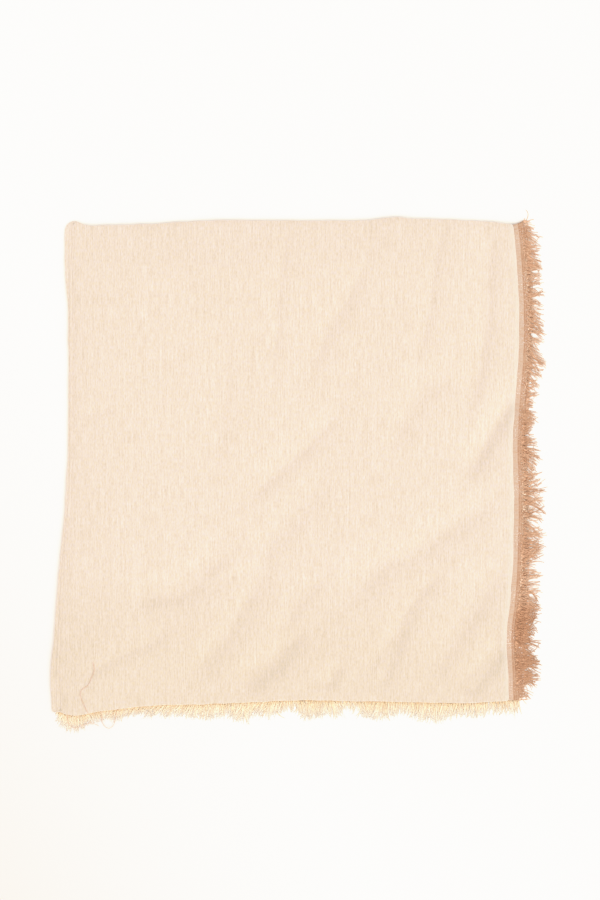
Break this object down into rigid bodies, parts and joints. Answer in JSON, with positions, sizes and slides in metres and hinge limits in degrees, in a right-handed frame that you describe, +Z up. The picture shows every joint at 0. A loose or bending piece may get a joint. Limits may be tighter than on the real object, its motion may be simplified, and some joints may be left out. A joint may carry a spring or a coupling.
{
  "type": "folded lurex scarf",
  "caption": "Thin woven cream and brown metallic-thread scarf, folded flat to a near square, with brown eyelash fringe at one side and a cream warp fringe below.",
  "frame": {"origin": "centre of the folded scarf on the surface it lies on", "axes": "+Z up from the surface; +Y towards the rolled top fold; +X towards the woven bands and the side fringe"},
  "size_m": [0.5126, 0.5308, 0.0093],
  "materials": {
    "body_cloth": "thin slubby weave of cream warp and brown metallic weft, soft sheen",
    "woven_band": "close brown weave with metallic threads",
    "side_fringe": "loose brown weft hairs",
    "end_fringe": "loose cream warp ends"
  },
  "bodies": {
    "root": {"top_cloth": "body_cloth", "hidden_layers": "body_cloth", "selvedge_upper": "woven_band", "selvedge_lower": "woven_band", "side_fringe_upper": "side_fringe", "side_fringe_lower": "side_fringe", "end_fringe": "end_fringe"}
  },
  "joints": []
}
